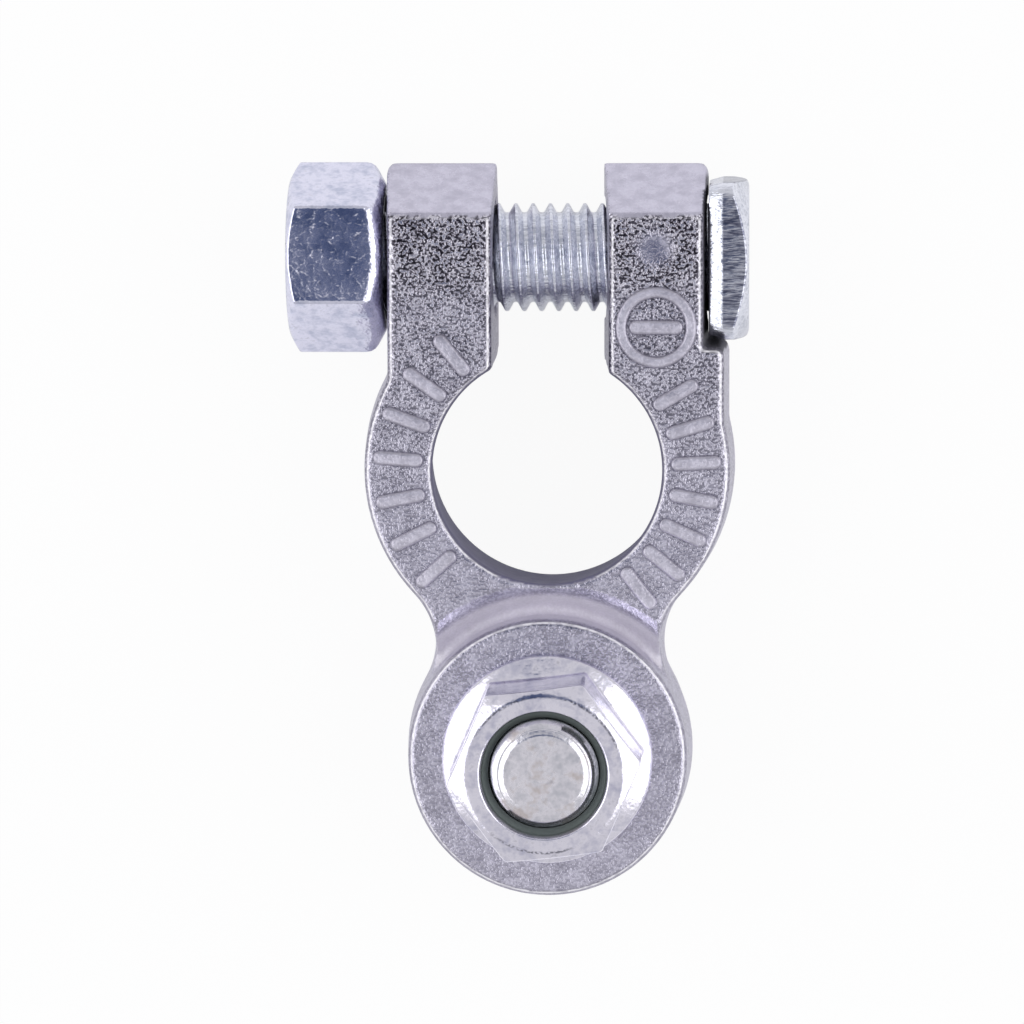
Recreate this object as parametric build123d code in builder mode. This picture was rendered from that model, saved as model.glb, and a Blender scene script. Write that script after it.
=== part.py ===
from build123d import *
import math
import os

# Battery terminal clamp: a drafted casting that grips a tapered battery post between two jaws,
# drawn together by a square-headed bolt, with a round pad that carries an upright cable stud.
# Frame: origin on the axis of the post bore, in the underside; +Z up along that axis,
# +Y towards the jaws, -Y towards the pad. Millimetres.

# ---- driving dimensions of the casting -------------------------------------------------------
casting_height = 12.6
draft = 3.3  # degrees, both ways from the parting plane at mid height
ring_radius = 13.46  # at the parting plane
bore_radius = 8.2  # at the top face, where the tapered bore is narrowest
post_taper = 1 / 9  # growth of the bore's diameter for each unit of depth
bolt_beyond_ring = 1.44  # from the ring's outer wall to the clamp bolt's axis
left_set_in = 1.69  # of the nut's jaw from the ring's widest place, to its left side
right_set_in = 1.94  # and of the head's jaw, to its right side
jaw_shoulder = 3.4  # the jaws' flat faces end this far past the bolt's axis
jaw_tip = 6.9  # and their hexagonal ends come to an edge this far past it
gap_left = 3.79  # from the middle plane to each jaw, at the parting plane
gap_right = 3.94
gap_draft_left = 1.6
gap_draft_right = 4.5
pad_beyond_ring = 7.34  # from the ring's outer wall to the stud's axis
pad_radius = 10.4  # at the parting plane
neck_radius = 5.5  # hollows between the ring and the pad
relief_radius = 12.2  # dished relief round the raised pad, at the top face
relief_floor = 10.8
relief_depth = 2.4
ledge_width = 1.5  # the ledge that keys the bolt's head stands this far out of the right jaw
jaw_corner = 0.9  # rounding of the jaws' and the ledge's upright corners
tip_round = 0.5
edge_break = 0.3  # at the edges of both faces, all round the casting and its openings
dish_break = 0.4  # where the ring's face falls into the relief

# ---- driving dimensions of the fasteners -----------------------------------------------------
thread_crest = 7.8  # outside diameter of an M8 thread
hole_clearance = 0.4  # all round a thread in the casting
thread_clearance = 0.05  # all round a thread in its nut
seat_gap = 0.03  # between faces that bear on each other
point_chamfer = 0.5  # at the end of a thread
point_radius = 2.6  # flat of the end, inside its shallow crown
point_crown = 0.25
head_size = 11.3  # square head, across flats
head_height = 2.88
head_corner = 1.25
head_clearance = 0.1  # between the clamp bolt's head and the ledge
bolt_end_inside = 0.3  # the clamp bolt ends this far inside its nut
stud_end_outside = 0.05  # the cable stud ends this far outside its nut
pocket_clearance = 0.2  # all round the stud's head
pocket_recess = 0.3  # the stud's head lies this far inside the underside
nut_flats = 12.0
clamp_nut_height = 6.95
clamp_nut_turned = 5.0  # degrees off square that the nut came to rest
flange_nut_height = 8.0
flange_nut_turned = 6.5
flange_radius = 7.55
flange_rim = 0.8
flange_slope = 22.0  # degrees, up from the rim to the hexagon
face_share = 0.94  # end face of a nut or head, as a share of its width across flats
corner_angle = 28.0  # chamfer of the corners round that face
countersink_width = 0.6
countersink_depth = 0.9

# ---- what follows from them ------------------------------------------------------------------
parting = casting_height / 2
bolt_offset = ring_radius + bolt_beyond_ring
pad_offset = ring_radius + pad_beyond_ring
jaw_left = ring_radius - left_set_in
jaw_right = ring_radius - right_set_in
hole_radius = thread_crest / 2 + hole_clearance
nut_bore = thread_crest / 2 + thread_clearance
pocket_depth = pocket_recess + head_height + seat_gap
ledge_top = bolt_offset - head_size / 2 - head_clearance
ledge_side = jaw_right + ledge_width
jaw_end = bolt_offset + jaw_tip
clamp_bolt_length = jaw_left + jaw_right + 2 * seat_gap + clamp_nut_height - bolt_end_inside
cable_stud_length = casting_height - pocket_depth + 2 * seat_gap + flange_nut_height + stud_end_outside
end_slope = (jaw_tip - jaw_shoulder) / parting
past = 1.0  # how far a cut runs past the face that it opens
bore_mouth = bore_radius + post_taper / 2 * casting_height  # in the underside
pad_middle = (0, -pad_offset, parting)

# centre of the neck's hollow on the right, and where that hollow runs into the ring and the pad
ring_reach = ring_radius + neck_radius
pad_reach = pad_radius + neck_radius
neck_y = (pad_reach**2 - ring_reach**2 - pad_offset**2) / (2 * pad_offset)
neck_x = math.sqrt(ring_reach**2 - neck_y**2)
ring_x = neck_x * ring_radius / ring_reach
ring_y = neck_y * ring_radius / ring_reach
pad_x = neck_x * pad_radius / pad_reach
pad_y = (neck_y + pad_offset) * pad_radius / pad_reach - pad_offset

bolt_bearing = (jaw_right + seat_gap, bolt_offset, parting)
nut_bearing = (-jaw_left - seat_gap, bolt_offset, parting)
bolt_seat = Plane(origin=bolt_bearing, x_dir=(0, 1, 0), z_dir=(-1, 0, 0))
nut_seat = Plane(origin=nut_bearing, x_dir=(0, 1, 0), z_dir=(-1, 0, 0))
stud_seat = Plane(origin=(0, -pad_offset, pocket_depth - seat_gap), z_dir=(0, 0, 1))
flange_seat = Plane(origin=(0, -pad_offset, casting_height + seat_gap), z_dir=(0, 0, 1))

os.makedirs("parts", exist_ok=True)


# ---- the casting -----------------------------------------------------------------------------
def wall_at(half_width, angle, height):
    """Half-width of a drafted wall, given at the parting plane, at a height above that plane."""
    return half_width + height * math.tan(math.radians(angle))


pad_face_radius = wall_at(pad_radius, -draft, parting)
gap_left_mouth = wall_at(gap_left, gap_draft_left, parting)
gap_right_mouth = wall_at(gap_right, gap_draft_right, parting)

with BuildPart() as clamp_body:
    # upper half of the outline: ring and pad, joined by a neck with hollow sides
    with BuildSketch(Plane.XY.offset(parting)):
        with BuildLine():
            ThreePointArc((ring_x, ring_y), (0, ring_radius), (-ring_x, ring_y))
            ThreePointArc((-ring_x, ring_y), (neck_radius - neck_x, neck_y), (-pad_x, pad_y))
            ThreePointArc((-pad_x, pad_y), (0, -pad_offset - pad_radius), (pad_x, pad_y))
            ThreePointArc((pad_x, pad_y), (neck_x - neck_radius, neck_y), (ring_x, ring_y))
        make_face()
    extrude(amount=parting, taper=draft)

    # the two jaws, still in one block
    with BuildSketch(Plane.XY.offset(parting)):
        with BuildLine():
            FilletPolyline(
                (jaw_right, 0),
                (jaw_right, jaw_end),
                (-jaw_left, jaw_end),
                (-jaw_left, 0),
                radius=jaw_corner,
            )
            Line((-jaw_left, 0), (jaw_right, 0))
        make_face()
    extrude(amount=parting, taper=draft)

    # ledge that keys the bolt's square head
    with BuildSketch(Plane.XY.offset(parting)):
        with BuildLine():
            FilletPolyline(
                (0, 0),
                (ledge_side, 0),
                (ledge_side, ledge_top),
                (0, ledge_top),
                radius=jaw_corner,
            )
            Line((0, ledge_top), (0, 0))
        make_face()
    extrude(amount=parting, taper=draft)

    # hexagonal ends of the jaws
    with BuildSketch(Plane.YZ) as beyond_ends:
        with BuildLine():
            Polyline(
                (jaw_end, parting),
                (jaw_end - end_slope * (parting + past), -past),
                (jaw_end + past, -past),
                (jaw_end + past, casting_height + past),
                (jaw_end - end_slope * (parting + past), casting_height + past),
                close=True,
            )
        make_face()
        fillet(beyond_ends.vertices().group_by(Axis.Y)[1], radius=tip_round)
    extrude(amount=2 * ring_radius, both=True, mode=Mode.SUBTRACT)

    # the face's edge is broken all round, and the lower half is the same
    chamfer(clamp_body.faces().sort_by(Axis.Z)[-1].edges(), length=edge_break)
    mirror(about=Plane.XY.offset(parting))

    # the ring's face falls into a dish round the pad, which stands up to its own face
    with BuildSketch(Plane.XZ.offset(pad_offset)) as dish:
        with BuildLine():
            Polyline(
                (wall_at(pad_radius, -draft, parting - relief_depth), casting_height - relief_depth),
                (relief_floor, casting_height - relief_depth),
                (relief_radius, casting_height),
                (relief_radius + past, casting_height),
                (relief_radius + past, casting_height + past),
                (pad_face_radius - past, casting_height + past),
                (pad_face_radius - past, casting_height),
                (pad_face_radius, casting_height),
                close=True,
            )
        make_face()
        chamfer(dish.vertices().sort_by_distance((relief_radius, casting_height))[0], length=dish_break)
        chamfer(dish.vertices().sort_by_distance((pad_face_radius, casting_height))[0], length=edge_break)
    revolve(axis=Axis(pad_middle, (0, 0, 1)), mode=Mode.SUBTRACT)

    # gap between the jaws, drafted both ways
    with BuildSketch(Plane.XZ) as gap:
        with BuildLine():
            Polyline(
                (gap_right, parting),
                (gap_right_mouth, casting_height),
                (gap_right_mouth + past, casting_height),
                (gap_right_mouth + past, casting_height + past),
                (-gap_left_mouth - past, casting_height + past),
                (-gap_left_mouth - past, casting_height),
                (-gap_left_mouth, casting_height),
                (-gap_left, parting),
                (-gap_left_mouth, 0),
                (-gap_left_mouth - past, 0),
                (-gap_left_mouth - past, -past),
                (gap_right_mouth + past, -past),
                (gap_right_mouth + past, 0),
                (gap_right_mouth, 0),
                close=True,
            )
        make_face()
        corners = [(x, y) for x in (-gap_left_mouth, gap_right_mouth) for y in (0, casting_height)]
        chamfer([gap.vertices().sort_by_distance(c)[0] for c in corners], length=edge_break)
    extrude(amount=-(jaw_end + past), mode=Mode.SUBTRACT)

    # tapered bore for the battery post
    with BuildSketch(Plane.XZ) as bore:
        with BuildLine():
            Polyline(
                (0, -past),
                (bore_mouth + past, -past),
                (bore_mouth + past, 0),
                (bore_mouth, 0),
                (bore_radius, casting_height),
                (bore_radius + past, casting_height),
                (bore_radius + past, casting_height + past),
                (0, casting_height + past),
                close=True,
            )
        make_face()
        corners = [(bore_mouth, 0), (bore_radius, casting_height)]
        chamfer([bore.vertices().sort_by_distance(c)[0] for c in corners], length=edge_break)
    revolve(axis=Axis.Z, mode=Mode.SUBTRACT)

    # holes for the clamp bolt and the cable stud, and the pocket for the stud's head
    with Locations(Plane(origin=(ledge_side, bolt_offset, parting), z_dir=(1, 0, 0))):
        Hole(radius=hole_radius)
    with Locations(Plane(origin=(0, -pad_offset, casting_height))):
        Hole(radius=hole_radius)
    with BuildSketch(Plane.XY):
        with Locations((0, -pad_offset)):
            RectangleRounded(
                head_size + 2 * pocket_clearance, head_size + 2 * pocket_clearance, head_corner
            )
    extrude(amount=pocket_depth, mode=Mode.SUBTRACT)


# ---- fasteners -------------------------------------------------------------------------------
def section_of(seat):
    """Plane through a fastener's axis: its X is the radius and its Y runs along the fastener."""
    return Plane(origin=seat.origin, x_dir=seat.x_dir, z_dir=-seat.y_dir)


def axis_of(seat):
    """Axis of the fastener that stands on a seat."""
    return Axis(seat.origin, seat.z_dir)


def corner_cutter(seat, height, face_radius, outward):
    """Section of the ring that takes the corners off round the end face at `height`."""
    reach = 2 * face_radius
    fall = (reach - face_radius) * math.tan(math.radians(corner_angle))
    with BuildSketch(section_of(seat)) as section:
        with BuildLine():
            Polyline(
                (face_radius, height),
                (reach, height - outward * fall),
                (reach, height + outward * past),
                (face_radius, height + outward * past),
                close=True,
            )
        make_face()
    return section.sketch


def threaded_bore(seat, height):
    """Section of a nut's bore, with a countersink at each face."""
    mouth = nut_bore + countersink_width
    with BuildSketch(section_of(seat)) as section:
        with BuildLine():
            Polyline(
                (0, -past),
                (mouth, -past),
                (mouth, 0),
                (nut_bore, countersink_depth),
                (nut_bore, height - countersink_depth),
                (mouth, height),
                (mouth, height + past),
                (0, height + past),
                close=True,
            )
        make_face()
    return section.sketch


def square_headed_bolt(seat, length):
    """Bolt whose head bears on the plane `seat` and whose thread runs along that plane's normal."""
    shank_end = length - point_crown
    face_radius = face_share * head_size / 2
    with BuildPart() as bolt:
        with BuildSketch(seat):
            RectangleRounded(head_size, head_size, head_corner)
        extrude(amount=-head_height)
        cutter = corner_cutter(seat, -head_height, face_radius, -1)
        revolve(cutter, axis_of(seat), mode=Mode.SUBTRACT)
        with BuildSketch(section_of(seat)):
            with BuildLine():
                Polyline(
                    (0, 0),
                    (thread_crest / 2, 0),
                    (thread_crest / 2, shank_end - point_chamfer),
                    (thread_crest / 2 - point_chamfer, shank_end),
                    (point_radius, length),
                    (0, length),
                    close=True,
                )
            make_face()
        revolve(axis=axis_of(seat))
    return bolt.part


with BuildPart() as clamp_bolt:
    add(square_headed_bolt(bolt_seat, clamp_bolt_length))

with BuildPart() as cable_stud:
    add(square_headed_bolt(stud_seat, cable_stud_length))

with BuildPart() as clamp_nut:
    with BuildSketch(nut_seat):
        RegularPolygon(nut_flats / 2, 6, major_radius=False, rotation=clamp_nut_turned)
    extrude(amount=clamp_nut_height)
    for height, outward in ((0, -1), (clamp_nut_height, 1)):
        cutter = corner_cutter(nut_seat, height, face_share * nut_flats / 2, outward)
        revolve(cutter, axis_of(nut_seat), mode=Mode.SUBTRACT)
    revolve(threaded_bore(nut_seat, clamp_nut_height), axis_of(nut_seat), mode=Mode.SUBTRACT)

with BuildPart() as flange_nut:
    with BuildSketch(flange_seat):
        RegularPolygon(nut_flats / 2, 6, major_radius=False, rotation=flange_nut_turned)
    extrude(amount=flange_nut_height)
    cutter = corner_cutter(flange_seat, flange_nut_height, face_share * nut_flats / 2, 1)
    revolve(cutter, axis_of(flange_seat), mode=Mode.SUBTRACT)
    with BuildSketch(section_of(flange_seat)):
        with BuildLine():
            Polyline(
                (0, 0),
                (flange_radius, 0),
                (flange_radius, flange_rim),
                (0, flange_rim + flange_radius * math.tan(math.radians(flange_slope))),
                close=True,
            )
        make_face()
    revolve(axis=axis_of(flange_seat))
    revolve(threaded_bore(flange_seat, flange_nut_height), axis_of(flange_seat), mode=Mode.SUBTRACT)

# ---- one STEP file a piece -------------------------------------------------------------------
clamp_body.part.label = "clamp_body"
export_step(clamp_body.part, "parts/clamp_body.step")
clamp_bolt.part.label = "clamp_bolt"
export_step(clamp_bolt.part, "parts/clamp_bolt.step")
clamp_nut.part.label = "clamp_nut"
export_step(clamp_nut.part, "parts/clamp_nut.step")
cable_stud.part.label = "cable_stud"
export_step(cable_stud.part, "parts/cable_stud.step")
flange_nut.part.label = "flange_nut"
export_step(flange_nut.part, "parts/flange_nut.step")
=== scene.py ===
import math

import bmesh
import bpy
import numpy as np
from mathutils import Matrix, Vector, noise


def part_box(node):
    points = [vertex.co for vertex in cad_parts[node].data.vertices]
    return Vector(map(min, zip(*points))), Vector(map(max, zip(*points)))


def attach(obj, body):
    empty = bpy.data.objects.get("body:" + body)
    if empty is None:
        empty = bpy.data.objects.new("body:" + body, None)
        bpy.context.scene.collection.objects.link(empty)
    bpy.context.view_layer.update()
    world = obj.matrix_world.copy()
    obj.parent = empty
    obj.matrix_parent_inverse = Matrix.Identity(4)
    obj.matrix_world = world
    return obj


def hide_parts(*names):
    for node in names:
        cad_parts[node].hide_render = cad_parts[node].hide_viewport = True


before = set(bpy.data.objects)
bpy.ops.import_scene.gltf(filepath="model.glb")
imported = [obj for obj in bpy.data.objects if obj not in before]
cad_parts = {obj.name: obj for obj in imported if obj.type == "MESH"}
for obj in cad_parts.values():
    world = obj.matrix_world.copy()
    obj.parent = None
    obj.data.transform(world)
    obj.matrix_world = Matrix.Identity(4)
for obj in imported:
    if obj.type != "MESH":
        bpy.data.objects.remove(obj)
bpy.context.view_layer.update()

# Looks of a battery terminal clamp: a cast body with raised marks, two threaded bolts, two nuts,
# and a pale studio seen from almost straight above. Metres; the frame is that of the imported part.
MM = 0.001
WELD = 1e-6  # vertices nearer than this are one
DEGENERATE = 1e-7  # edges shorter than this are taken out
TINY = 1e-9  # keeps a division or a comparison safe
EASING_STEPS = (0.0, 0.33, 0.67, 1.0)  # where along an easing its rings lie

# ---- sizes of the fasteners, as they are made --------------------------------------------------
NUT_FLATS = 12.0 * MM
NUT_CORNER = 0.35 * MM
HEAD_FLATS = 11.3 * MM
HEAD_HEIGHT = 2.88 * MM
HEAD_CORNER = 1.25 * MM
HEAD_FLAT_STEPS = 26
HEAD_CORNER_STEPS = 8
HEAD_COLLAR = 1.0 * MM  # drafted part of the head, next to the jaw
HEAD_COLLAR_IN = 0.34 * MM
HEAD_SIDE = 0.3 * MM  # the head's side is at least this high above its collar
HEAD_INNER_RING = 0.55  # of the flat face's radius
FACE_SHARE = 0.94
SEAT_SHARE = 0.87  # the clamp nut is more deeply chamfered where it bears
CORNER_SLOPE = math.tan(math.radians(28))
CLAMP_NUT_TURNED = math.radians(5.0)
FLANGE_NUT_TURNED = math.radians(6.5)
FLANGE_RIM = 0.8 * MM
FLANGE_SLOPE = math.tan(math.radians(22))
BORE = 3.95 * MM
COUNTERSINK = 0.6 * MM
COUNTERSINK_DEPTH = 0.9 * MM
COUNTERSINK_STEP = (0.12 * MM, 0.2 * MM)  # across and down, round the upper countersink

PITCH = 1.25 * MM
CREST = 3.9 * MM
ROOT = 3.24 * MM
THREAD_STARTS = 0.1 * MM  # from the head
THREAD_RUNOUT = 1.2 * PITCH
THREAD_SECTION = [  # share of the pitch, and how high on the thread: 1 is the crest
    (0.00, 1.0), (0.055, 1.0), (0.10, 0.93), (0.34, 0.10), (0.42, 0.02),
    (0.50, 0.0), (0.58, 0.02), (0.66, 0.10), (0.90, 0.93), (0.945, 1.0),
]
POINT_CHAMFER = 0.28 * MM
POINT_RADIUS = 2.85 * MM
POINT_CROWN = 0.36 * MM
POINT_STEP = 0.05 * MM  # half the width of the small step round the point
POINT_STEP_HEIGHTS = (0.6, 0.55)  # of the crown, outside and inside the step

# ---- how far the fasteners' edges are eased ----------------------------------------------------
EDGE = 0.13 * MM
STEP_EDGE = 0.03 * MM
BORE_EDGE = 0.05 * MM
SMALL_EDGE = 0.1 * MM
MOUTH_EDGE = 0.12 * MM
COLLAR_EDGE = 0.16 * MM
SEAT_EDGE = 0.2 * MM
FACE_EDGE = 0.22 * MM
HEAD_FACE_EDGE = 0.25 * MM
FLANGE_FOOT_EDGE = 0.28 * MM
SEAT_CORNER_EDGE = 0.6 * MM

# ---- where the fasteners are brushed, scuffed or in shade --------------------------------------
BRUSHED_FROM = 0.05 * MM  # beyond the collar
BRUSHED_DEPTH = 0.08 * MM  # only this near to the head's flats
SHADE_INSIDE = 0.05 * MM  # the painted shade starts this far in from the countersink's mouth
SCUFF_IN = 0.08 * MM  # from the edge of the nut's face
SCUFF_HALF_WIDTH = 0.12 * MM

# ---- marks on the casting's face ---------------------------------------------------------------
MARK_STROKE = 1.1 * MM
MARK_PROFILE = [  # how far in from the stroke's edge, and how far out of the face
    (-0.04 * MM, -0.30 * MM), (0.05 * MM, 0.16 * MM), (0.10 * MM, 0.23 * MM),
    (0.17 * MM, 0.275 * MM), (0.27 * MM, 0.29 * MM),
]
ROUND_END_STEPS = 11
RING_STEPS = 80
SIGN_PLACE = (7.8 * MM, 10.26 * MM)
SIGN_RADIUS = 2.5 * MM  # middle of the ring's stroke
SIGN_STROKE = 0.86 * MM
SIGN_BAR = (3.95 * MM, 1.1 * MM)  # length and width
BAR_RING = 10.67 * MM  # the bars' middles lie on this circle
BAR_LENGTH = 3.7 * MM
LEFT_BARS = (129.5, 221.8, 7)  # first and last direction in degrees, and how many
RIGHT_BARS = (30.5, -52.2, 7)

# ---- the casting's skin ------------------------------------------------------------------------
SKIN_VOXEL = 0.21 * MM
LUMP_SIZE = 0.75 * MM
SAND_SIZE = 0.42 * MM
GRAIN_DEPTH = 0.034 * MM
GRAIN_WORN_AWAY = 0.8  # of the depth, where the casting is worn smooth
SHARP = math.radians(40)
CASTING_SHADES = ("worn_and_lit", "inside_shade", "dull_and_lit", "rim", "head_shadow")

# ---- where the casting is worn and dull, and where light and shade are painted on it -----------
MARK_WORN = 0.1 * MM  # above the face, a mark is fully worn
BORE_WITHIN = 9.0 * MM  # of the bore's axis
BORE_FACES = 0.7  # how squarely the bore faces its axis
WALL = (0.5, -0.2)  # upward share of a wall's normal: where a wall starts, and over how much
WALL_INSIDE = 0.15  # how much of the bore's painted shade a wall takes
SLOPE_BEYOND = 17.5 * MM  # the jaws' end slopes lie beyond this Y
SLOPE_FACES = 0.4  # how squarely they, and the ledge under the head, face along Y
# Toward the ring and the lug seat the casting is smoother and lighter: wear, and partly painted light.
WORN_AND_LIT_NEAR_RING = (14.0 * MM, -2.5 * MM, 0.3)  # Y where it starts, over what distance, how much
WORN_AND_LIT_NEAR_LUG = (8.0 * MM, -14.0 * MM, 0.45)
RELIEF_FROM_LUG = 5.0 * MM  # the relief starts this far along Y from the lug seat's middle,
RELIEF_REACH = 13.6 * MM  # ends this far from that middle,
RELIEF_OFF_BORE = 8.4 * MM  # and keeps this far from the bore's axis
RELIEF_SIDES = (0.78, -0.15)  # sideways share of a normal: from the first on, it is an outer wall
RELIEF_DEPTHS = (0.2 * MM, 0.8 * MM)  # below the face: where it starts, and over how much
TOP_FROM = 9.0 * MM  # the relief and the sink mark are above this Z
SINK_PLACE = (7.65 * MM, 15.85 * MM)  # a smooth round sink mark on the right jaw
SINK_RADIUS = 1.25 * MM
EDGE_NORMALS = (0.985, -0.06)  # upward share of a normal: where an edge starts, and over how much
EDGE_LEAST = 0.1  # an edge still faces up by more than this
EDGE_DEPTH = 0.5 * MM  # an edge lies within this of the face
RIM_UNTIL = 18.0 * MM  # no painted shade or highlight on an edge beyond this Y
RIM_PAD = 11.0 * MM  # the pad's own edge lies within this of the lug seat's middle
RIM_SIDES = 8.2 * MM  # the relief's border lies within this X on either side
# Painted shadow of the bolt's head, on the jaw's wall round it and on the ledge under it.
HEAD_SHADOW_EDGE = (0.1 * MM, 0.5 * MM)  # painted shadow beyond the head's outline: where it fades, and over how much
HEAD_SHADOW_FACES = 0.6  # how squarely the wall behind the head faces along X
HEAD_SHADOW_BEYOND = 9.5 * MM  # that wall lies beyond this X
LEDGE_SHADOW_PLACE = (11.0 * MM, 9.0 * MM)  # the ledge gets painted shadow beyond this X and about this Y
LEDGE_SHADOW_HALF = 2.0 * MM  # along Y

# ---- how much of each look those places get ----------------------------------------------------
WORN_MARK = 0.82
# the jaws' end slopes: smooth, and lighter as painted light
WORN_AND_LIT_SLOPE = 0.95
WORN_AND_LIT_HOLLOW = 0.82
WORN_SINK = 0.95
WORN_BORE = 0.9
WORN_WALL = 0.6
DULL_MARK = 0.36
# strength of the painted shadow by the bolt's head
HEAD_SHADOW = 0.85


# ---- materials ---------------------------------------------------------------------------------
class Nodes:
    """A material's node tree, filled from its inputs to its shader."""

    def __init__(self, name):
        self.material = bpy.data.materials.new(name)
        self.material.use_nodes = True
        self.tree = self.material.node_tree
        self.shader = self.tree.nodes["Principled BSDF"]
        self.place = self.tree.nodes.new("ShaderNodeTexCoord").outputs["Object"]

    def add(self, kind, inputs=(), **settings):
        node = self.tree.nodes.new("ShaderNode" + kind)
        for key, value in settings.items():
            setattr(node, key, value)
        for key, value in dict(inputs).items():
            self.feed(node.inputs[key], value)
        return node

    def feed(self, socket, value):
        if isinstance(value, bpy.types.NodeSocket):
            self.tree.links.new(value, socket)
        else:
            socket.default_value = value

    def attribute(self, name):
        """A number that the mesh keeps per vertex."""
        return self.add("Attribute", attribute_name=name).outputs["Fac"]

    def stretched(self, factors):
        """Object coordinates multiplied axis by axis."""
        return self.add("Mapping", {"Vector": self.place, "Scale": factors}).outputs["Vector"]

    def noise(self, scale, detail=3.0, roughness=0.55, where=None):
        return self.add("TexNoise", {
            "Vector": where or self.place, "Scale": scale, "Detail": detail, "Roughness": roughness,
        }).outputs["Fac"]

    def ramp(self, value, stops):
        """Colour ramp; each stop is (position, colour)."""
        node = self.add("ValToRGB", {"Fac": value})
        marks = node.color_ramp.elements
        while len(marks) < len(stops):
            marks.new(0.5)
        for mark, (position, colour) in zip(marks, stops):
            mark.position = position
            mark.color = (*colour, 1)
        return node.outputs["Color"]

    def level(self, value, low, high, to_low=0.0, to_high=1.0):
        """Value moved from one range to another and held within it."""
        return self.add("MapRange", {
            "Value": value, "From Min": low, "From Max": high, "To Min": to_low, "To Max": to_high,
        }).outputs["Result"]

    def math(self, operation, a, b):
        return self.add("Math", {0: a, 1: b}, operation=operation).outputs[0]

    def times(self, a, b):
        return self.math("MULTIPLY", a, b)

    def plus(self, a, b):
        return self.math("ADD", a, b)

    def larger(self, a, b):
        return self.math("MAXIMUM", a, b)

    def painted(self, colour, share, over):
        """A colour with this share of another over it."""
        node = self.add("Mix", data_type="RGBA")
        self.feed(node.inputs[0], share)
        self.feed(node.inputs[6], colour)
        self.feed(node.inputs[7], (*over, 1) if isinstance(over, tuple) else over)
        return node.outputs[2]

    def bump(self, height, distance):
        return self.add("Bump", {"Height": height, "Distance": distance}).outputs["Normal"]

    def finish(self, **inputs):
        for key, value in inputs.items():
            self.feed(self.shader.inputs[key.replace("_", " ").title()], value)
        return self.material

    def show(self, shader):
        """Gives the material's surface this shader in place of its own."""
        self.tree.links.new(shader, self.tree.nodes["Material Output"].inputs["Surface"])


def rgb(red, green, blue):
    """Linear colour of an 8-bit screen colour."""
    return tuple(((c / 255 + 0.055) / 1.055) ** 2.4 for c in (red, green, blue))


CAST_SAND = [(0.2, rgb(48, 46, 55)), (0.55, rgb(142, 138, 151)), (0.88, rgb(230, 227, 237))]
# worn smooth and lighter; on the end slopes, toward the lug and in the hollow this also paints light
CAST_WORN_AND_LIT = [(0.3, rgb(194, 191, 208)), (0.65, rgb(216, 213, 230))]
# pale matt finish: dull on the marks, and painted light in the hollow
CAST_DULL_AND_LIT = rgb(230, 226, 234)
# painted shade on the bore's wall, and more faintly on every wall
CAST_WALL_SHADE = rgb(121, 118, 146)
# painted shadow by the bolt's head
CAST_HEAD_SHADOW = rgb(34, 33, 38)
# painted shade on the casting's edges
CAST_RIM_SHADE = rgb(118, 115, 128)
# dashed painted highlight on the casting's edges
CAST_HIGHLIGHT = rgb(248, 246, 252)
CAST_GRAIN_SCALE = 4600
CAST_LUMP_SCALE = 1000
CAST_DASH_SCALE = 1900
CAST_PLATEAU = (0.43, 0.58)  # levels of the grain at which its pits end and its tops start
CAST_TONE = (0.62, 0.5)  # shares of the tops and of the lumps in the sand's tone
CAST_DULL_AND_LIT_SHARE = 0.7
CAST_RIM_SHADE_SHARE = 0.4
RIM_STARTS = (0.04 * MM, 0.07 * MM)  # the painted highlight line on an edge, measured down from the face
RIM_ENDS = (0.12 * MM, 0.17 * MM)
RIM_DASHES = (0.40, 0.54, 0.6, 1.0)  # levels of the noise, and how bright the painted highlight is at them
RIM_MATT = 0.7
CAST_ROUGHNESS = (0.3, 0.7, 0.2, 0.32)  # levels of the lumps, and the roughness at them
MATT_ROUGHER = 0.3
MATT_METALLIC = 0.25
CAST_BUMP = 0.000038
CAST_GRAIN_BUMP = 0.8  # height of the grain on top of its plateau
WORN_BUMP = 0.08  # what is left of the bump where the casting is worn smooth


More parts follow.
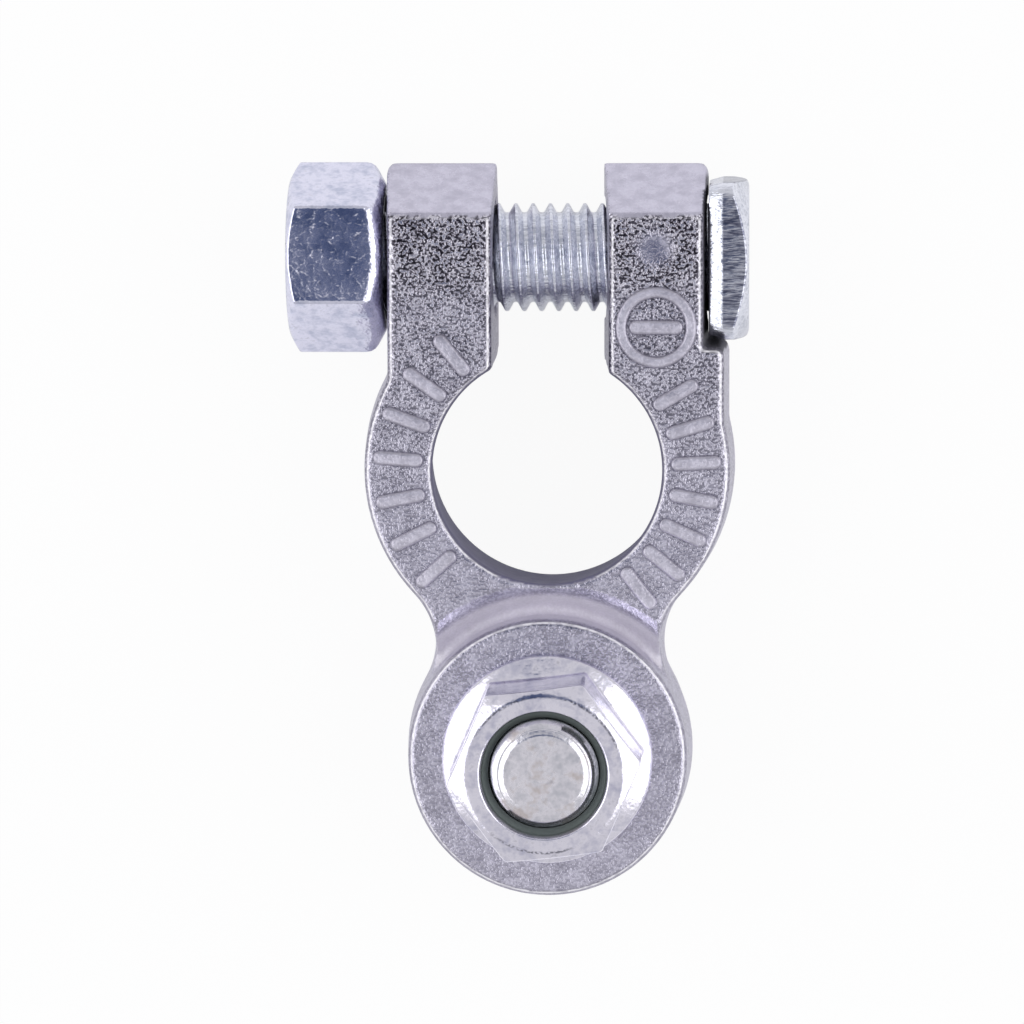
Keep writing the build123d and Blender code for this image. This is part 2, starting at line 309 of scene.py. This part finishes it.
def cast_metal(face_height):
    """Grey die-cast alloy: fine sandy grain, worn smooth on marks; painted shade and a painted highlight
    on edges, painted shade in the bore and by the bolt's head, painted light on the end slopes and in the
    hollow.
    """
    n = Nodes("cast_metal")
    smooth, inside_shade, dull_and_lit, rim, head_shadow = (n.attribute(name) for name in CASTING_SHADES)
    grain = n.noise(CAST_GRAIN_SCALE, 1.0, 0.6)
    plateau = n.level(grain, *CAST_PLATEAU)
    lumps = n.noise(CAST_LUMP_SCALE, 2.0, 0.5)
    tone = n.plus(n.times(plateau, CAST_TONE[0]), n.times(lumps, CAST_TONE[1]))
    # worn smooth and lighter; on the end slopes, toward the lug and in the hollow this also paints light
    colour = n.painted(n.ramp(tone, CAST_SAND), smooth, n.ramp(lumps, CAST_WORN_AND_LIT))
    # pale matt finish: dull on the marks, and painted light in the hollow
    colour = n.painted(colour, n.times(dull_and_lit, CAST_DULL_AND_LIT_SHARE), CAST_DULL_AND_LIT)
    # painted shade in the bore and, more faintly, on the walls
    colour = n.painted(colour, inside_shade, CAST_WALL_SHADE)
    # painted shadow by the bolt's head
    colour = n.painted(colour, head_shadow, CAST_HEAD_SHADOW)
    # painted shade on the edges, and a dashed painted highlight line just under the face
    colour = n.painted(colour, n.times(rim, CAST_RIM_SHADE_SHARE), CAST_RIM_SHADE)
    below = n.math("SUBTRACT", face_height, n.add("SeparateXYZ", {0: n.place}).outputs["Z"])
    highlight = n.times(n.level(below, *RIM_STARTS), n.level(below, *RIM_ENDS, 1.0, 0.0))
    highlight = n.times(highlight, n.times(rim, n.level(n.noise(CAST_DASH_SCALE, 1.0), *RIM_DASHES)))
    colour = n.painted(colour, highlight, CAST_HIGHLIGHT)
    matt = n.larger(n.larger(dull_and_lit, inside_shade), n.larger(n.times(highlight, RIM_MATT), head_shadow))
    roughness = n.plus(n.level(lumps, *CAST_ROUGHNESS), n.times(matt, MATT_ROUGHER))
    metallic = n.level(matt, 0.0, 1.0, 1.0, MATT_METALLIC)
    height = n.plus(plateau, n.times(grain, CAST_GRAIN_BUMP))
    normal = n.bump(n.times(height, n.level(smooth, 0.0, 1.0, 1.0, WORN_BUMP)), CAST_BUMP)
    return n.finish(base_color=colour, metallic=metallic, roughness=roughness, normal=normal)


STEEL_SPECK = rgb(110, 112, 128)
STEEL_STAIN = rgb(164, 140, 112)
STEEL_BRUSHED = rgb(116, 118, 138)
STEEL_TORN = rgb(116, 116, 130)
# painted shade in a nut's countersink and bore
STEEL_HIDDEN_SHADE = rgb(112, 121, 119)
STEEL_MOTTLE_SCALE = 520
STEEL_SCRATCH_SCALE = 1300
STEEL_TORN_SCALES = (5200, 230)  # the specks, and the patches that they come in
STEEL_TONE = (0.5, 0.6)  # shares of the mottling and of the scratches in the steel's tone
STEEL_TONES = (0.40, 0.60)  # where it is darkest and lightest
SPECK_LEVELS = (0.62, 0.78, 0.0, 0.35)  # levels of a noise, and how strong the look is at them
STAIN_LEVELS = (0.54, 0.66, 0.0)
BRUSHED_LEVELS = (0.35, 0.65, 1.0, 0.25)
TORN_SPECKS = (0.36, 0.56)
TORN_PATCHES = (0.42, 0.56)
ROUGHNESS_LEVELS = (0.3, 0.7)  # of the mottling
ROUGHNESS_SPAN = (0.05, 0.08)  # below and above the steel's own roughness
HIDDEN_ROUGHER = 0.3
HIDDEN_METALLIC = 0.45
MOTTLE_BUMP = 1.2


def plated_steel(name, tint, dark, roughness, bump, streak=(1, 1, 1), stain=0.0):
    """Zinc-plated steel: bluish, with soft mottling, fine streaks, a few dark specks, and painted shade
    inside a nut's countersink.
    """
    n = Nodes(name)
    hidden_shade, brushed, scuffed = (n.attribute(kept) for kept in ("inside_shade", "brushed", "scuffed"))
    mottle = n.noise(STEEL_MOTTLE_SCALE, 3.0, 0.6)
    scratches = n.noise(STEEL_SCRATCH_SCALE, 2.0, 0.7, n.stretched(streak))
    tone = n.plus(n.times(mottle, STEEL_TONE[0]), n.times(scratches, STEEL_TONE[1]))
    colour = n.ramp(tone, list(zip(STEEL_TONES, (dark, tint))))
    colour = n.painted(colour, n.level(scratches, *SPECK_LEVELS), STEEL_SPECK)
    if stain:
        rust = n.level(n.noise(STEEL_MOTTLE_SCALE, 3.0, 0.65), *STAIN_LEVELS, stain)
        colour = n.painted(colour, rust, STEEL_STAIN)
    brushing = n.times(brushed, n.level(scratches, *BRUSHED_LEVELS))
    colour = n.painted(colour, brushing, STEEL_BRUSHED)
    specks, patches = (n.noise(scale, 0.0, 0.5) for scale in STEEL_TORN_SCALES)
    torn = n.times(n.level(specks, *TORN_SPECKS), n.level(patches, *TORN_PATCHES))
    colour = n.painted(colour, n.times(scuffed, torn), STEEL_TORN)
    # painted shade in the countersink and bore
    colour = n.painted(colour, hidden_shade, STEEL_HIDDEN_SHADE)
    span = (roughness - ROUGHNESS_SPAN[0], roughness + ROUGHNESS_SPAN[1])
    rough = n.plus(n.level(mottle, *ROUGHNESS_LEVELS, *span), n.times(hidden_shade, HIDDEN_ROUGHER))
    metallic = n.level(hidden_shade, 0.0, 1.0, 1.0, HIDDEN_METALLIC)
    normal = n.bump(n.plus(scratches, n.times(mottle, MOTTLE_BUMP)), bump)
    return n.finish(base_color=colour, metallic=metallic, roughness=rough, normal=normal)


# ---- meshes ------------------------------------------------------------------------------------
def into_scene(name, data):
    """New object of the scene with this mesh, lamp or camera."""
    made = bpy.data.objects.new(name, data)
    bpy.context.scene.collection.objects.link(made)
    return made


def new_piece(name, mesh, node, material):
    """Shows a mesh, already in the row frame, in place of a CAD node and rides it on that node's body."""
    piece = into_scene(name, mesh)
    piece.data.materials.clear()
    piece.data.materials.append(material)
    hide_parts(node)
    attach(piece, node)
    return piece


def around(sides, radius_at_flat, corner, turned, on_flat=16, on_corner=5):
    """Directions round an axis, and a rounded polygon's radius in each of them."""
    half = math.pi / sides
    reach = (radius_at_flat - corner) / math.cos(half)  # to the middle of a corner's rounding
    flat_end = math.atan((radius_at_flat - corner) * math.tan(half) / radius_at_flat)
    local = np.concatenate([
        np.linspace(-flat_end, flat_end, on_flat, endpoint=False),
        np.linspace(flat_end, 2 * half - flat_end, on_corner, endpoint=False),
    ])
    to_corner = half - local
    radius = radius_at_flat / np.cos(local)
    rounded = local > flat_end - TINY
    bow = np.sqrt(np.maximum(corner**2 - (reach * np.sin(to_corner)) ** 2, 0))
    radius = np.where(rounded, reach * np.cos(to_corner) + bow, radius)
    directions = np.concatenate([turned + half + 2 * half * side + local for side in range(sides)])
    return np.append(directions, directions[0] + 2 * math.pi), np.append(np.tile(radius, sides), radius[0])


def eased(corners, closed=False):
    """Rings of a section whose corners, each (radius, height, easing), are rounded off."""
    count = max(np.size(r) for r, z, e in corners)
    points = [np.stack([np.broadcast_to(v, count) for v in (r, z)]).astype(float) for r, z, e in corners]
    rings = []
    for i, (r, z, easing) in enumerate(corners):
        here = points[i]
        if not easing or (not closed and i in (0, len(corners) - 1)):
            rings.append(here)
            continue
        before = points[i - 1] - here
        after = points[(i + 1) % len(points)] - here
        starts = here + before / np.maximum(np.hypot(*before), TINY) * easing
        ends = here + after / np.maximum(np.hypot(*after), TINY) * easing
        for t in EASING_STEPS:
            rings.append((1 - t) ** 2 * starts + 2 * t * (1 - t) * here + t**2 * ends)
    return rings


def skin(name, directions, rings, place, closed=False):
    """Mesh through rings of (radius, height) round a placed axis; a full turn's ends are welded."""
    rows, cols = len(rings), len(directions)
    radius = np.array([np.broadcast_to(ring[0], cols) for ring in rings])
    height = np.array([np.broadcast_to(ring[1], cols) for ring in rings])
    points = np.stack([radius * np.cos(directions), radius * np.sin(directions), height], axis=-1)
    quads = []
    for row in range(rows if closed else rows - 1):
        below = (row + 1) % rows
        for col in range(cols - 1):
            here, under = row * cols + col, below * cols + col
            quads.append((here, here + 1, under + 1, under))
    mesh = bpy.data.meshes.new(name)
    mesh.from_pydata([place @ Vector(p) for p in points.reshape(-1, 3)], [], quads)
    work = bmesh.new()
    work.from_mesh(mesh)
    bmesh.ops.remove_doubles(work, verts=work.verts, dist=WELD)
    bmesh.ops.dissolve_degenerate(work, edges=work.edges, dist=DEGENERATE)
    bmesh.ops.recalc_face_normals(work, faces=work.faces)
    for face in work.faces:
        face.smooth = True
    work.to_mesh(mesh)
    work.free()
    return mesh


def values(collection, field, width):
    """A field of every element of a mesh as an array, one row an element."""
    found = np.empty(len(collection) * width)
    collection.foreach_get(field, found)
    return found.reshape(-1, width)


def at_place(mesh, place):
    """X, Y and Z of a fastener's vertices in the frame of its place."""
    points = values(mesh.vertices, "co", 3) - np.array(place.translation)
    return (points @ np.array(place.to_3x3())).T


def shade(mesh, name, amounts):
    """Keeps a number per vertex for the material."""
    kept = mesh.attributes.new(name, "FLOAT", "POINT").data
    kept.foreach_set("value", np.asarray(amounts, np.float32))


def flat_shading(piece):
    """Keeps wide faces flat while their eased edges stay smooth."""
    weighted = piece.modifiers.new("flat_faces", "WEIGHTED_NORMAL")
    weighted.keep_sharp = False
    weighted.weight = 100


def thread_rings(directions, start, end, end_radius):
    """Rings that follow an M8 thread's helix; where one would pass an end, it lies on that end."""
    lead = (directions - directions[0]) / (2 * math.pi) * PITCH
    rings = []
    for turn in range(-2, int((end - start) / PITCH) + 3):
        for share, high in THREAD_SECTION:
            height = start + (turn + share) * PITCH + lead
            radius = np.full_like(height, ROOT + (CREST - ROOT) * high)
            limit = end_radius + (end - height) * (CREST - end_radius) / POINT_CHAMFER
            radius = np.minimum(radius, np.maximum(limit, end_radius))
            radius = CREST + (radius - CREST) * np.clip((height - start) / THREAD_RUNOUT, 0, 1)
            radius = np.where(height >= end, end_radius, radius)
            radius = np.where(height <= start, CREST, radius)
            rings.append(np.stack([radius, np.clip(height, start, end)]))
    return rings


def square_bolt_mesh(name, place, length):
    """Square-headed bolt, with its seat at the place's origin and its thread along its Z."""
    directions, square = around(
        4, HEAD_FLATS / 2, HEAD_CORNER, -math.pi / 4, on_flat=HEAD_FLAT_STEPS, on_corner=HEAD_CORNER_STEPS
    )
    face = FACE_SHARE * HEAD_FLATS / 2
    rim = -HEAD_HEIGHT + (square - face) * CORNER_SLOPE
    head = eased([
        (0.0, -HEAD_HEIGHT, 0),
        (face * HEAD_INNER_RING, -HEAD_HEIGHT, SEAT_EDGE),
        (face, -HEAD_HEIGHT, HEAD_FACE_EDGE),
        (square, np.minimum(rim, -HEAD_COLLAR - HEAD_SIDE), EDGE),
        (square, -HEAD_COLLAR, COLLAR_EDGE),
        (square - HEAD_COLLAR_IN, 0.0, EDGE),
        (CREST, 0.0, SMALL_EDGE),
    ])
    end = length - POINT_CROWN
    point = CREST - POINT_CHAMFER
    step = (point + POINT_RADIUS) / 2
    outer_step, inner_step = (end + share * POINT_CROWN for share in POINT_STEP_HEIGHTS)
    tip = eased([
        (point, end, 0),
        (step + POINT_STEP, outer_step, STEP_EDGE),
        (step - POINT_STEP, inner_step, STEP_EDGE),
        (POINT_RADIUS, length, SMALL_EDGE),
        (0.0, length, 0),
    ])
    thread = thread_rings(directions, THREAD_STARTS, end, point)
    mesh = skin(name, directions, head + thread + tip, place)
    x, y, z = at_place(mesh, place)
    on_flat = np.maximum(np.abs(x), np.abs(y)) > HEAD_FLATS / 2 - BRUSHED_DEPTH
    shade(mesh, "brushed", (z < -HEAD_COLLAR - BRUSHED_FROM) & on_flat)
    return mesh


def nut_mesh(name, place, height, turned, flange_radius=None):
    """Hexagon nut whose bearing face is at the place's origin, with a flange if it has a radius."""
    directions, hexagon = around(6, NUT_FLATS / 2, NUT_CORNER, turned)
    face = FACE_SHARE * NUT_FLATS / 2
    seat = SEAT_SHARE * NUT_FLATS / 2
    mouth = BORE + COUNTERSINK
    across, down = COUNTERSINK_STEP
    section = [
        (BORE, height - COUNTERSINK_DEPTH - down, BORE_EDGE),
        (mouth - across, height - COUNTERSINK_DEPTH, SMALL_EDGE),
        (mouth, height, MOUTH_EDGE),
        (face, height, FACE_EDGE),
        (hexagon, height - (hexagon - face) * CORNER_SLOPE, EDGE),
    ]
    if flange_radius:
        foot = FLANGE_RIM + (flange_radius - hexagon) * FLANGE_SLOPE
        section.append((hexagon, foot, FLANGE_FOOT_EDGE))
        section += [(flange_radius, FLANGE_RIM, FACE_EDGE), (flange_radius, 0.0, EDGE)]
    else:
        section.append((hexagon, (hexagon - seat) * CORNER_SLOPE, SEAT_CORNER_EDGE))
        section.append((seat, 0.0, SEAT_EDGE))
    section += [(mouth, 0.0, SMALL_EDGE), (BORE, COUNTERSINK_DEPTH, BORE_EDGE)]
    mesh = skin(name, directions, eased(section, closed=True), place, closed=True)
    x, y, z = at_place(mesh, place)
    out = np.hypot(x, y)
    # painted shade in the countersink and the bore
    shade(mesh, "inside_shade", out < mouth - SHADE_INSIDE)
    shade(mesh, "scuffed", (z > height / 2) & (np.abs(out - face + SCUFF_IN) < SCUFF_HALF_WIDTH))
    return mesh


def stack(work, rows, closed):
    """Adds faces between loops of vertices; the last loop meets the first or both get caps."""
    pairs = list(zip(rows, rows[1:])) + ([(rows[-1], rows[0])] if closed else [])
    for lower, upper in pairs:
        for i in range(len(lower)):
            j = (i + 1) % len(lower)
            work.faces.new((lower[i], lower[j], upper[j], upper[i]))
    if not closed:
        work.faces.new(list(reversed(rows[0])))
        work.faces.new(rows[-1])


def raised_bar(work, middle, direction, length, width, face_height):
    """Adds a bar with round ends and eased edges that stands out of the casting's face."""
    turn = Matrix.Rotation(direction, 2)
    rows = []
    for inset, up in MARK_PROFILE:
        row = []
        round_end = width / 2 - inset
        for end in (1, -1):
            for angle in np.linspace(-math.pi / 2, math.pi / 2, ROUND_END_STEPS):
                x = end * ((length - width) / 2 + math.cos(angle) * round_end)
                p = turn @ Vector((x, end * math.sin(angle) * round_end))
                row.append(work.verts.new((middle[0] + p.x, middle[1] + p.y, face_height + up)))
        rows.append(row)
    stack(work, rows, closed=False)


def raised_ring(work, middle, radius, width, face_height):
    """Adds a ring with eased edges that stands out of the casting's face."""
    outer = [(width / 2 - inset, up) for inset, up in MARK_PROFILE]
    section = outer + [(-across, up) for across, up in reversed(outer)]
    rows = []
    for across, up in section:
        row = []
        for angle in np.linspace(0, 2 * math.pi, RING_STEPS, endpoint=False):
            x = middle[0] + (radius + across) * math.cos(angle)
            y = middle[1] + (radius + across) * math.sin(angle)
            row.append(work.verts.new((x, y, face_height + up)))
        rows.append(row)
    stack(work, rows, closed=True)


def marks_mesh(face_height):
    """A negative pole's sign beside the jaw, and plain bars round the ring."""
    work = bmesh.new()
    raised_ring(work, SIGN_PLACE, SIGN_RADIUS, SIGN_STROKE, face_height)
    raised_bar(work, SIGN_PLACE, 0.0, *SIGN_BAR, face_height)
    for first, last, count in (LEFT_BARS, RIGHT_BARS):
        for angle in np.radians(np.linspace(first, last, count)):
            middle = (BAR_RING * math.cos(angle), BAR_RING * math.sin(angle))
            raised_bar(work, middle, angle, BAR_LENGTH, MARK_STROKE, face_height)
    bmesh.ops.recalc_face_normals(work, faces=work.faces)
    mesh = bpy.data.meshes.new("marks")
    work.to_mesh(mesh)
    work.free()
    return mesh


def evaluated(mesh, *modifiers):
    """Copy of a mesh after modifiers, each given as its kind and its settings."""
    carrier = into_scene("carrier", mesh)
    for kind, settings in modifiers:
        modifier = carrier.modifiers.new(kind, kind)
        for key, value in settings.items():
            setattr(modifier, key, value)
    shown = carrier.evaluated_get(bpy.context.evaluated_depsgraph_get())
    result = bpy.data.meshes.new_from_object(shown)
    bpy.data.objects.remove(carrier)
    return result


def fade(value, start, width, most=1.0):
    """Rises from 0 at the start to the most once the width is passed; a negative width runs down."""
    return most * np.clip((value - start) / width, 0, 1)


def wear_and_light_at(mesh, face_height, lug, head):
    """From 0 to 1 at each vertex of the casting, the amounts of CASTING_SHADES."""
    x, y, z = values(mesh.vertices, "co", 3).T
    across, along, upward = values(mesh.vertex_normals, "vector", 3).T
    out = np.hypot(x, y)
    from_lug = np.hypot(x - lug.x, y - lug.y)

    raised = fade(z, face_height, MARK_WORN)
    toward_axis = -(across * x + along * y) / np.maximum(out, TINY)
    bore = (out < BORE_WITHIN) & (toward_axis > BORE_FACES)
    wall = fade(np.abs(upward), *WALL)
    # Painted shade in the bore, and a little of it on every wall.
    inside_shade = np.maximum(bore, WALL_INSIDE * wall)
    end_slope = (along > SLOPE_FACES) & (y > SLOPE_BEYOND)
    toward_lug = fade(y, *WORN_AND_LIT_NEAR_RING) + fade(y, *WORN_AND_LIT_NEAR_LUG)

    in_relief = (y > lug.y + RELIEF_FROM_LUG) & (from_lug < RELIEF_REACH)
    in_relief = in_relief & (z > TOP_FROM) & (out > RELIEF_OFF_BORE)
    hollow = fade(face_height - z, *RELIEF_DEPTHS) * in_relief * fade(np.abs(across), *RELIEF_SIDES)
    from_sink = ((x - SINK_PLACE[0]) ** 2 + (y - SINK_PLACE[1]) ** 2) / SINK_RADIUS**2
    sink = np.exp(-(from_sink**2)) * (z > TOP_FROM)
    # Worn smooth on the marks, the sink and the bore; on the end slopes, toward the lug and in the hollow
    # the lighter worn colour is painted light.
    worn_and_lit = np.maximum.reduce([
        WORN_MARK * raised, WORN_AND_LIT_SLOPE * end_slope, toward_lug, WORN_AND_LIT_HOLLOW * hollow,
        WORN_SINK * sink, WORN_BORE * bore, WORN_WALL * wall,
    ])
    # Pale and matt: a dull finish on the marks, and painted light in the hollow.
    dull_and_lit = np.maximum(hollow, DULL_MARK * raised)

    # Edges that get painted shade and a dashed painted highlight.
    edge = fade(upward, *EDGE_NORMALS) * (upward > EDGE_LEAST) * (z > face_height - EDGE_DEPTH)
    off_relief = (from_lug < RIM_PAD) | (from_lug > RELIEF_REACH) | (np.abs(x) > RIM_SIDES)
    rim = edge * (1 - end_slope) * (y < RIM_UNTIL) * off_relief

    # Painted shadow of the bolt's head: on the jaw's wall close round the head, and on the ledge under it.
    beyond = np.maximum(np.abs(y - head.y), np.abs(z - head.z)) - HEAD_FLATS / 2
    by_head = (across > HEAD_SHADOW_FACES) * (x > HEAD_SHADOW_BEYOND) * (1 - fade(beyond, *HEAD_SHADOW_EDGE))
    on_ledge = (x > LEDGE_SHADOW_PLACE[0]) * (np.abs(y - LEDGE_SHADOW_PLACE[1]) < LEDGE_SHADOW_HALF)
    head_shadow = HEAD_SHADOW * np.maximum(by_head, (along > SLOPE_FACES) * on_ledge)
    return worn_and_lit, inside_shade, dull_and_lit, rim, head_shadow


def casting_mesh(node):
    """The cast body with its marks, in one skin of small faces that carry the sandy grain."""
    face_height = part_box(node)[1].z
    lug = sum(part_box("flange_nut"), Vector()) / 2
    head = sum(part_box("clamp_bolt"), Vector()) / 2
    work = bmesh.new()
    work.from_mesh(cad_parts[node].data)
    bmesh.ops.remove_doubles(work, verts=work.verts, dist=WELD)
    solid = bpy.data.meshes.new("casting_solid")
    work.to_mesh(solid)
    work.free()
    fine = ("REMESH", {"mode": "VOXEL", "voxel_size": SKIN_VOXEL})
    body = evaluated(solid, fine, ("SMOOTH", {"factor": 0.5, "iterations": 2}))

    points = values(body.vertices, "co", 3)
    normals = values(body.vertex_normals, "vector", 3)
    worn_and_lit = wear_and_light_at(body, face_height, lug, head)[0]
    lumps = np.array([noise.noise(p) for p in points / LUMP_SIZE]) + 1  # from 0 to 2, as the sand
    sand = np.array([noise.noise(p) for p in points / SAND_SIZE]) + 1
    depth = GRAIN_DEPTH / 4 * (lumps + sand) * (1 - GRAIN_WORN_AWAY * worn_and_lit)
    points -= normals * depth[:, None]
    body.vertices.foreach_set("co", points.ravel())

    marks = into_scene("marks", marks_mesh(face_height))
    union = ("BOOLEAN", {"operation": "UNION", "solver": "MANIFOLD", "object": marks})
    mesh = evaluated(body, union)
    bpy.data.objects.remove(marks)
    work = bmesh.new()
    work.from_mesh(mesh)
    for edge in work.edges:
        edge.smooth = edge.calc_face_angle(0) < SHARP
    for face in work.faces:
        face.smooth = True
    work.to_mesh(mesh)
    work.free()
    for name, amounts in zip(CASTING_SHADES, wear_and_light_at(mesh, face_height, lug, head)):
        shade(mesh, name, amounts)
    mesh.name = "casting"
    return mesh


# ---- the object --------------------------------------------------------------------------------
casting_metal = cast_metal(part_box("clamp_body")[1].z)
new_piece("casting", casting_mesh("clamp_body"), "clamp_body", casting_metal)

bolt_low, bolt_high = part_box("clamp_bolt")
bolt_middle = (bolt_low + bolt_high) / 2
along_bolt = Matrix(((0, 0, -1), (1, 0, 0), (0, -1, 0))).to_4x4()


def on_bolt_axis(x):
    """Place of a fastener that bears at this x; its own Z runs to the left along the clamp bolt."""
    return Matrix.Translation((x, bolt_middle.y, bolt_middle.z)) @ along_bolt


bolt_length = bolt_high.x - bolt_low.x - HEAD_HEIGHT
bolt_place = on_bolt_axis(bolt_high.x - HEAD_HEIGHT)
bolt = square_bolt_mesh("clamp_bolt_thread", bolt_place, bolt_length)
bolt_steel = plated_steel(
    "bolt_steel", rgb(238, 240, 250), rgb(196, 200, 214), roughness=0.2, bump=0.00007, streak=(0.5, 3, 3)
)
flat_shading(new_piece("clamp_bolt_threaded", bolt, "clamp_bolt", bolt_steel))

nut_low, nut_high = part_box("clamp_nut")
nut_height = nut_high.x - nut_low.x
nut = nut_mesh("clamp_nut_hexagon", on_bolt_axis(nut_high.x), nut_height, CLAMP_NUT_TURNED)
nut_steel = plated_steel(
    "nut_steel", rgb(232, 232, 250), rgb(196, 200, 222), roughness=0.17, bump=0.00008
)
flat_shading(new_piece("clamp_nut_eased", nut, "clamp_nut", nut_steel))

stud_low, stud_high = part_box("cable_stud")
stud_middle = (stud_low + stud_high) / 2
stud_place = Matrix.Translation((stud_middle.x, stud_middle.y, stud_low.z + HEAD_HEIGHT))
stud_length = stud_high.z - stud_low.z - HEAD_HEIGHT
stud = square_bolt_mesh("cable_stud_thread", stud_place, stud_length)
stud_steel = plated_steel(
    "stud_steel", rgb(246, 243, 250), rgb(216, 216, 224), roughness=0.24, bump=0.00004, stain=0.4
)
flat_shading(new_piece("cable_stud_threaded", stud, "cable_stud", stud_steel))

flange_low, flange_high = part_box("flange_nut")
flange_place = Matrix.Translation((stud_middle.x, stud_middle.y, flange_low.z))
flange_height = flange_high.z - flange_low.z
flange_radius = (flange_high.x - flange_low.x) / 2
flange = nut_mesh("flange_nut_hexagon", flange_place, flange_height, FLANGE_NUT_TURNED, flange_radius)
flange_steel = plated_steel(
    "flange_steel", rgb(247, 244, 255), rgb(212, 211, 230), roughness=0.18, bump=0.000035
)
flat_shading(new_piece("flange_nut_eased", flange, "flange_nut", flange_steel))


# ---- studio ------------------------------------------------------------------------------------
VIEW_FROM = Vector((0.0422, 0.1056, 1.0)).normalized()
VIEW_AT = Vector((-2.77 * MM, -3.655 * MM, 6.3 * MM))
VIEW_DISTANCE = 0.4
VIEW_WIDTH = 74.5 * MM  # seen across the picture at VIEW_AT
VIEW_ROLL = math.radians(-0.13)
SENSOR_WIDTH = 36
VIEW_CLIPS = (0.01, 10)
LAMPS = {"lamp_left": (-0.45, 0.0, 0.35), "lamp_right": (0.45, 0.0, 0.35)}
LAMP_SIZE = 0.6
LAMP_POWER = 1.35
CARD_PLACE = (-0.009, 0.031, 0.13)
CARD_RADIUS = 0.056
CARD_FLATTENING = 0.65
CARD_SOFT_FROM = 0.75  # of the radius
CARD_COLOUR = (0.08, 0.105, 0.19)
FLOOR_HALF = 3.0
FLOOR_Z = -0.02 * MM
FLOOR_COLOUR = (0.86, 0.86, 0.87)
FLOOR_ROUGHNESS = 0.9
FLOOR_GLOW_SEEN = 0.93
FLOOR_GLOW_MIRRORED = 0.4
ROOM_COLOUR = (0.97, 0.97, 1.0)
ROOM_STRENGTH = 0.62

lens = bpy.data.cameras.new("camera")
lens.sensor_width = SENSOR_WIDTH
lens.lens = SENSOR_WIDTH * VIEW_DISTANCE / VIEW_WIDTH
lens.clip_start, lens.clip_end = VIEW_CLIPS
camera = into_scene("camera", lens)
camera.location = VIEW_AT + VIEW_FROM * VIEW_DISTANCE
right = Vector((0, 1, 0)).cross(VIEW_FROM).normalized()
facing = Matrix((right, VIEW_FROM.cross(right), VIEW_FROM)).transposed()
camera.rotation_euler = (facing @ Matrix.Rotation(VIEW_ROLL, 3, "Z")).to_euler()
bpy.context.scene.camera = camera

for lamp_name, lamp_place in LAMPS.items():
    light = bpy.data.lights.new(lamp_name, "AREA")
    light.shape = "SQUARE"
    light.size = LAMP_SIZE
    light.energy = LAMP_POWER
    lamp = into_scene(lamp_name, light)
    lamp.location = lamp_place
    lamp.rotation_euler = (Vector(lamp_place) - VIEW_AT).to_track_quat("Z", "Y").to_euler()


def sheet(name, half, z):
    """Square sheet, half this wide, at this height."""
    mesh = bpy.data.meshes.new(name)
    corners = ((-1, -1), (1, -1), (1, 1), (-1, 1))
    mesh.from_pydata([(x * half, y * half, z) for x, y in corners], [], [(0, 1, 2, 3)])
    made = into_scene(name, mesh)
    return made


# A dark card with a soft edge above the object, which only reflections show: it stands in for the
# camera and its stand.
card = sheet("shade_card", CARD_RADIUS, 0)
card.location = CARD_PLACE
card.scale.y = CARD_FLATTENING
card.visible_camera = card.visible_diffuse = card.visible_transmission = card.visible_shadow = False
felt = Nodes("shade_card")
felt_out = felt.add("VectorMath", {0: felt.place}, operation="LENGTH").outputs["Value"]
felt_cover = felt.level(felt_out, CARD_SOFT_FROM * CARD_RADIUS, CARD_RADIUS, 1.0, 0.0)
felt_dark = felt.add("Emission", {"Color": (*CARD_COLOUR, 1), "Strength": 1.0}).outputs[0]
felt_clear = felt.add("BsdfTransparent").outputs[0]
felt.show(felt.add("MixShader", {0: felt_cover, 1: felt_clear, 2: felt_dark}).outputs[0])
card.data.materials.append(felt.material)

floor = sheet("floor", FLOOR_HALF, FLOOR_Z)
paper = Nodes("floor_paper")
paper.finish(base_color=(*FLOOR_COLOUR, 1), roughness=FLOOR_ROUGHNESS)
glow = paper.add("Emission", {"Color": (1, 1, 1, 1), "Strength": 1.0}).outputs[0]
rays = paper.add("LightPath").outputs
mirrored = paper.larger(rays["Is Glossy Ray"], rays["Is Transmission Ray"])
seen = paper.times(rays["Is Camera Ray"], FLOOR_GLOW_SEEN)
share = paper.plus(seen, paper.times(mirrored, FLOOR_GLOW_MIRRORED))
paper.show(paper.add("MixShader", {0: share, 1: paper.shader.outputs[0], 2: glow}).outputs[0])
floor.data.materials.append(paper.material)

# The room lights the object; the camera sees it as white.
world = bpy.data.worlds.new("studio")
bpy.context.scene.world = world
world.use_nodes = True
sky = world.node_tree
room = sky.nodes["Background"]
room.inputs["Color"].default_value = (*ROOM_COLOUR, 1)
room.inputs["Strength"].default_value = ROOM_STRENGTH
white = sky.nodes.new("ShaderNodeBackground")
white.inputs["Color"].default_value = (1, 1, 1, 1)
path = sky.nodes.new("ShaderNodeLightPath")
choose = sky.nodes.new("ShaderNodeMixShader")
sky.links.new(path.outputs["Is Camera Ray"], choose.inputs["Fac"])
sky.links.new(room.outputs[0], choose.inputs[1])
sky.links.new(white.outputs[0], choose.inputs[2])
sky.links.new(choose.outputs[0], sky.nodes["World Output"].inputs["Surface"])

bpy.context.scene.view_settings.view_transform = "Standard"
